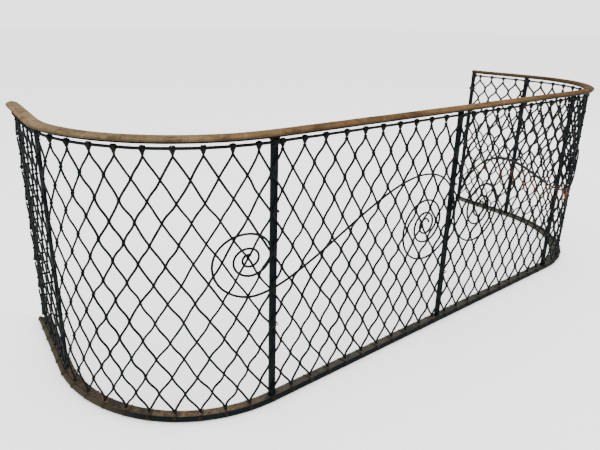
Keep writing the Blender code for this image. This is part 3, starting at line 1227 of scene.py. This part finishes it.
@dataclass
class Bindings:
    """Fine wire wound round the rod at each top point of the mesh, and round the base at each foot."""

    mesh: DiamondMesh
    wire_radius: float = 0.00068
    ball_radius: float = 0.0042
    uneven: float = 0.0002
    knot_steps: int = 9
    wrap_steps: int = 10
    seed: int = 5

    def knot(self, centre: Vector, neck: float, rng: random.Random) -> list[Vector]:
        """A ball of turns round the rod that runs on down the neck of the mesh.

        Args:
            centre: Where it sits, as (distance along, height of the rod's middle).
            neck: How far below the rod the mesh's first crossing lies.
            rng: Source of the small unevenness.

        Returns:
            The binding's points, outermost turn first.
        """
        rod = rod_size("suspension_rod")[0]
        plan = self.mesh.plan
        bulge = self.ball_radius - rod - 2 * self.wire_radius
        points = []
        turns = 7.5
        count = round(turns * self.knot_steps)
        start = rng.uniform(0, 2 * math.pi)
        for k in range(count + 1):
            share = k / count
            angle = start + 2 * math.pi * turns * share
            side = math.sin(share * math.pi * 3.4)
            reach = rod + self.wire_radius + bulge * math.sqrt(1 - 0.9 * side * side)
            reach += rng.uniform(-self.uneven, self.uneven)
            along = centre.x + side * self.ball_radius * 0.72 + rng.uniform(-self.uneven, self.uneven)
            points.append(plan.point(along, reach * math.cos(angle), centre.y + reach * math.sin(angle)))
        turns = 3.6
        count = round(turns * self.knot_steps)
        for k in range(count + 1):
            share = k / count
            angle = start + 2 * math.pi * turns * share
            reach = self.mesh.wire_radius * (1.75 - 0.75 * share)
            height = centre.y - rod - 0.0010 - share * neck * 0.42
            points.append(plan.point(centre.x + reach * math.cos(angle), reach * math.sin(angle), height))
        return points

    def neck_wires(self, column: int, rod_height: float) -> list[list[Vector]]:
        """The two mesh wires between the first crossing and the rod, spreading a little on the way up.

        Args:
            column: The half-column of the top point.
            rod_height: Height of the rod's middle.

        Returns:
            A run for each wire.
        """
        place = self.mesh.crossings[column, 0]
        plan = self.mesh.plan
        radius = self.mesh.wire_radius
        runs = []
        for side in (-1, 1):
            run = []
            for share in (0.0, 0.25, 0.5, 0.75, 1.0):
                spread = radius * (0.1 + 0.8 * share)
                height = place.y + (rod_height - place.y) * share
                run.append(plan.point(place.x + side * spread, 0.0, height))
            runs.append(run)
        return runs

    def base_wrap(self, column: int, rng: random.Random) -> list[Vector]:
        """Turns round the base rod that run back over the floor strip.

        Args:
            column: The half-column of the bottom point.
            rng: Source of the small unevenness.

        Returns:
            The wrap's points.
        """
        plan = self.mesh.plan
        place = self.mesh.crossings[column, self.mesh.levels]
        rod, centre_z = rod_size("base_rod")
        centre_inset = base_rod_inset(plan)
        reach = rod + self.wire_radius * 0.8
        strip_low, strip_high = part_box("base_strip")
        inner = strip_low.y - plan.front_y + STRIP_WIDTH
        points = []
        turns = 2.4
        count = round(turns * self.wrap_steps)
        for k in range(count + 1):
            share = k / count
            angle = math.pi / 2 + 2 * math.pi * turns * share
            along = place.x + (share - 0.5) * 0.0038 + rng.uniform(-self.uneven, self.uneven)
            height = max(centre_z + reach * math.sin(angle), strip_high.z - 0.0004)
            points.append(plan.point(along, centre_inset + reach * math.cos(angle), height))
        slant = rng.uniform(-0.004, 0.004)
        top = strip_high.z + self.wire_radius * 0.5
        tail = [
            (0.2, 0.004, top + 0.0012),
            (0.6, inner * 0.55, top),
            (1.0, inner - 0.0002, top),
            (1.0, inner + 0.0003, strip_high.z * 0.7),
            (1.0, inner - 0.0006, strip_high.z * 0.35),
        ]
        for share, inset, height in tail:
            points.append(plan.point(place.x + 0.002 + slant * share, inset, height))
        return points

    def build(self, finishes: Finishes) -> None:
        """Makes the top bindings, the necks and the wraps at the base."""
        rng = random.Random(self.seed)
        rod_height = rod_size("suspension_rod")[1]
        balls, necks = [], []
        last = self.mesh.last_column
        for column in range(-last + 1, last, 2):
            place = self.mesh.crossings[column, 0]
            balls.append(self.knot(Vector((place.x, rod_height)), rod_height - place.y, rng))
            necks += self.neck_wires(column, rod_height)
        wraps = [self.base_wrap(column, rng) for column in range(-last, last + 1, 2)]
        for name, runs, radius, sides, material in (
            ("top_bindings", balls, self.wire_radius, 4, finishes.binding),
            ("mesh_necks", necks, self.mesh.wire_radius * 0.8, 6, finishes.wire),
            ("base_wraps", wraps, self.wire_radius, 4, finishes.base_binding),
        ):
            settle(bent_wire(name, runs, radius, sides), material)


# ----------------------------------------
# Scrolls


@dataclass(frozen=True)
class Spiral:
    """One wound-up end of a scroll, clockwise inwards, in (distance along, height)."""

    eye: tuple[float, float]
    radius: float
    start: float
    turns: float
    decay: float
    stretch: float

    def point(self, turn: float) -> Vector:
        """The wire's place after this many turns."""
        angle = self.start - 2 * math.pi * turn
        reach = self.radius * math.exp(-self.decay * turn)
        return Vector(
            (self.eye[0] + reach * self.stretch * math.cos(angle), self.eye[1] + reach * math.sin(angle))
        )

    def heading(self, turn: float) -> Vector:
        """The wire's inward direction after this many turns."""
        return (self.point(turn + 0.01) - self.point(turn)).normalized()


@dataclass
class Scrolls:
    """The two S-shaped wires on the front, mirror images about the middle post."""

    plan: Plan
    outer: Spiral = Spiral((-0.4134, 0.2355), 0.0562, math.radians(-72), 2.6, 0.84, 1.075)
    inner: Spiral = Spiral((-0.0752, 0.2073), 0.0873, math.radians(89), 3.2, 0.70, 1.0)
    handle: float = 0.10
    wire_radius: float = 0.0016
    front_gap: float = 0.0006
    waver: float = 0.0004
    steps_per_turn: int = 36
    stroke_steps: int = 40

    def stroke(self, share: float) -> Vector:
        """A point of the long stroke between the two ends."""
        start, end = self.outer.point(0.0), self.inner.point(0.0)
        leave = -self.outer.heading(0.0) * self.handle
        arrive = self.inner.heading(0.0) * self.handle
        rest = 1 - share
        return (
            start * rest**3
            + (start + leave) * 3 * rest**2 * share
            + (end - arrive) * 3 * rest * share**2
            + end * share**3
        )

    def path(self) -> list[Vector]:
        """The left scroll from eye to eye."""
        steps = self.steps_per_turn
        path = [self.outer.point(k / steps) for k in range(round(self.outer.turns * steps), 0, -1)]
        path += [self.stroke(k / self.stroke_steps) for k in range(self.stroke_steps)]
        path += [self.inner.point(k / steps) for k in range(round(self.inner.turns * steps) + 1)]
        return path

    @staticmethod
    def stroke_build(place: Vector) -> float:
        """How thick the wire is: the long stroke at the right has the most paint on it."""
        start = soft_step(place.x, 0.09, 0.008)
        end = soft_step(place.x, 0.36, -0.008)
        above = soft_step(place.z, 0.215, 0.004)
        return 1.0 + 0.60 * start * end * above

    def build(self, finishes: Finishes) -> None:
        """Makes both scrolls."""
        for side, label in ((1, "left"), (-1, "right")):
            node = f"scroll_{label}"
            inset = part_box(node)[0].y + self.front_gap - self.plan.front_y
            run = []
            for spot in self.path():
                stray = noise.noise(Vector((spot.x * 25.0, spot.y * 25.0, side))) * self.waver
                run.append(self.plan.point(side * spot.x, inset, spot.y + stray))
            piece = bent_wire(f"wire_scroll_{label}", [run], self.wire_radius, 8, self.stroke_build)
            settle(piece, finishes.scroll, [node])


# ----------------------------------------
# Studio


@dataclass
class Studio:
    """A pale floor, soft light and the camera."""

    plan: Plan
    eye: Place = (-0.71229, -0.48709, 0.52137)
    yaw: float = 0.60696
    pitch: float = 0.29984
    roll: float = 0.01238
    lens: float = 29.72
    shift: tuple[float, float] = (0.0407, -0.0798)
    sensor: float = 36.0
    floor_size: float = 80.0
    floor_drop: float = 0.0006
    sky_strength: float = 2.5
    aim: Place = (0.0, 0.0, 0.15)

    def camera(self) -> None:
        """Sets up the camera, from the screen's front left."""
        data = bpy.data.cameras.new("camera")
        data.lens = self.lens
        data.sensor_width = self.sensor
        data.shift_x, data.shift_y = self.shift
        data.clip_start = 0.01
        camera = bpy.data.objects.new("camera", data)
        bpy.context.scene.collection.objects.link(camera)
        x, y, z = self.eye
        turn = Matrix.Rotation(-self.yaw, 4, "Z") @ Matrix.Rotation(math.pi / 2 - self.pitch, 4, "X")
        turn = turn @ Matrix.Rotation(self.roll, 4, "Z")
        camera.matrix_world = Matrix.Translation((x, y + self.plan.front_y, z)) @ turn
        bpy.context.scene.camera = camera

    def floor(self) -> None:
        """A wide pale floor."""
        release_all()
        bpy.ops.mesh.primitive_plane_add(size=self.floor_size, location=(0.0, 0.0, -self.floor_drop))
        floor = bpy.context.object
        floor.name = "studio_floor"
        pale = Graph("pale floor", Base_Color=(0.93, 0.93, 0.93, 1.0), Roughness=0.9)
        floor.data.materials.append(pale.material)

    def light(self, name: str, place: Place, size: float, power: float) -> None:
        """One square soft light aimed at the screen.

        Args:
            name: The light's name.
            place: Where it hangs.
            size: Its side.
            power: Its power in watts.
        """
        data = bpy.data.lights.new(name, "AREA")
        data.size = size
        data.energy = power
        light = bpy.data.objects.new(name, data)
        bpy.context.scene.collection.objects.link(light)
        light.location = place
        light.rotation_euler = (Vector(self.aim) - Vector(place)).to_track_quat("-Z", "Y").to_euler()

    def build(self) -> None:
        """Sets up camera, floor, sky and lights."""
        self.camera()
        self.floor()
        world = bpy.data.worlds.new("soft white room")
        world.use_nodes = True
        sky = world.node_tree.nodes["Background"]
        sky.inputs["Color"].default_value = (1.0, 1.0, 1.0, 1.0)
        sky.inputs["Strength"].default_value = self.sky_strength
        bpy.context.scene.world = world
        self.light("key", (-1.6, -1.8, 2.4), 1.8, 75.0)
        self.light("fill", (2.2, -1.2, 1.6), 2.2, 30.0)


def main() -> None:
    """Builds the screen and the studio around the fixed frame."""
    logging.basicConfig(level=logging.INFO, format="%(message)s")
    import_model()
    plan = Plan.from_frame()
    finishes = Finishes()
    Studio(plan).build()
    mesh = DiamondMesh(plan)
    bars = (TopRail(plan), Hanger(plan), Base(plan), Posts(plan), Lashings(plan))
    for part in (*bars, mesh, Bindings(mesh), Scrolls(plan)):
        part.build(finishes)


if __name__ == "__main__":
    main()
